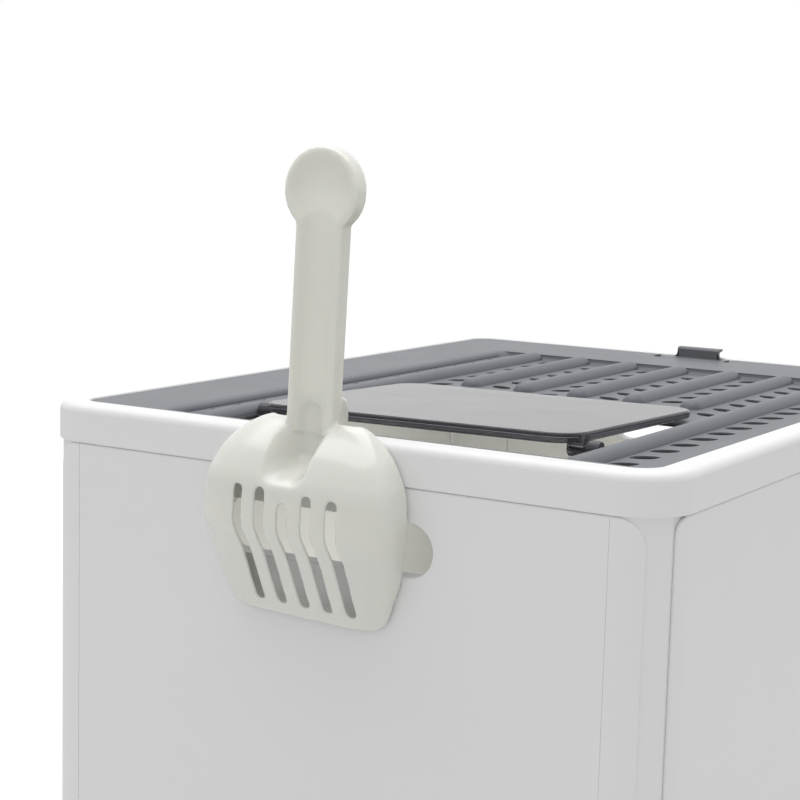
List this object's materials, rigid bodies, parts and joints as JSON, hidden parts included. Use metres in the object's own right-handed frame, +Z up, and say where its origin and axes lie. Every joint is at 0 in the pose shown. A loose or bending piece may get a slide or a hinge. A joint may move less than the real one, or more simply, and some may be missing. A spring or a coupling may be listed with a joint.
{
  "type": "top-entry litter box",
  "caption": "Enclosed top-entry litter box with a lift-off slotted lid, a see-through hatch and a latch, a pull-out pan, and a slotted scoop hung on its front rim.",
  "frame": {"origin": "on the floor, in the middle of the space the whole object takes, scoop included", "axes": "+Z up; -Y is the front, the short side the scoop hangs on; +X is to the right when the front is looked at"},
  "size_m": [0.41, 0.5706, 0.5359],
  "materials": {
    "white_plastic": "satin white moulding",
    "grey_plastic": "satin blue-grey moulding",
    "dark_plastic": "satin dark grey moulding",
    "smoke_plastic": "polished smoky see-through sheet",
    "cream_plastic": "soft gloss cream moulding",
    "steel": "bright drawn wire",
    "rubber": "matt pad"
  },
  "bodies": {
    "box": {"top_frame": "white_plastic", "base": "white_plastic", "front_panel": "white_plastic", "rear_panel": "white_plastic", "left_panel": "white_plastic", "right_panel": "white_plastic", "front_left_post": "white_plastic", "front_right_post": "white_plastic", "rear_left_post": "white_plastic", "rear_right_post": "white_plastic", "left_guide": "white_plastic", "right_guide": "white_plastic", "foot_front_left": "rubber", "foot_front_right": "rubber", "foot_rear_left": "rubber", "foot_rear_right": "rubber"},
    "lid": {"lid": "grey_plastic", "hatch_pin_left": "steel", "hatch_pin_right": "steel", "latch_pin": "steel"},
    "hatch": {"hatch": "smoke_plastic"},
    "latch": {"lid_latch": "dark_plastic"},
    "drawer": {"litter_pan": "grey_plastic", "drawer_front": "white_plastic"},
    "scoop": {"scoop": "cream_plastic"}
  },
  "joints": [
    {"name": "lid_lift", "type": "slide", "parent": "box", "child": "lid", "axis": [0, 0, 1], "range_m": [0, 0.2]},
    {"name": "hatch_hinge", "type": "hinge", "parent": "lid", "child": "hatch", "pos_m": [0.02, -0.172, 0.3765], "axis": [1, 0, 0], "range_deg": [0, 100]},
    {"name": "latch_turn", "type": "hinge", "parent": "lid", "child": "latch", "pos_m": [0.004, 0.2545, 0.377], "axis": [1, 0, 0], "range_deg": [0, 80]},
    {"name": "drawer_slide", "type": "slide", "parent": "box", "child": "drawer", "axis": [0, -1, 0], "range_m": [0, 0.36]},
    {"name": "scoop_lift", "type": "slide", "parent": "box", "child": "scoop", "axis": [0, 0, 1], "range_m": [0, 0.08]}
  ]
}
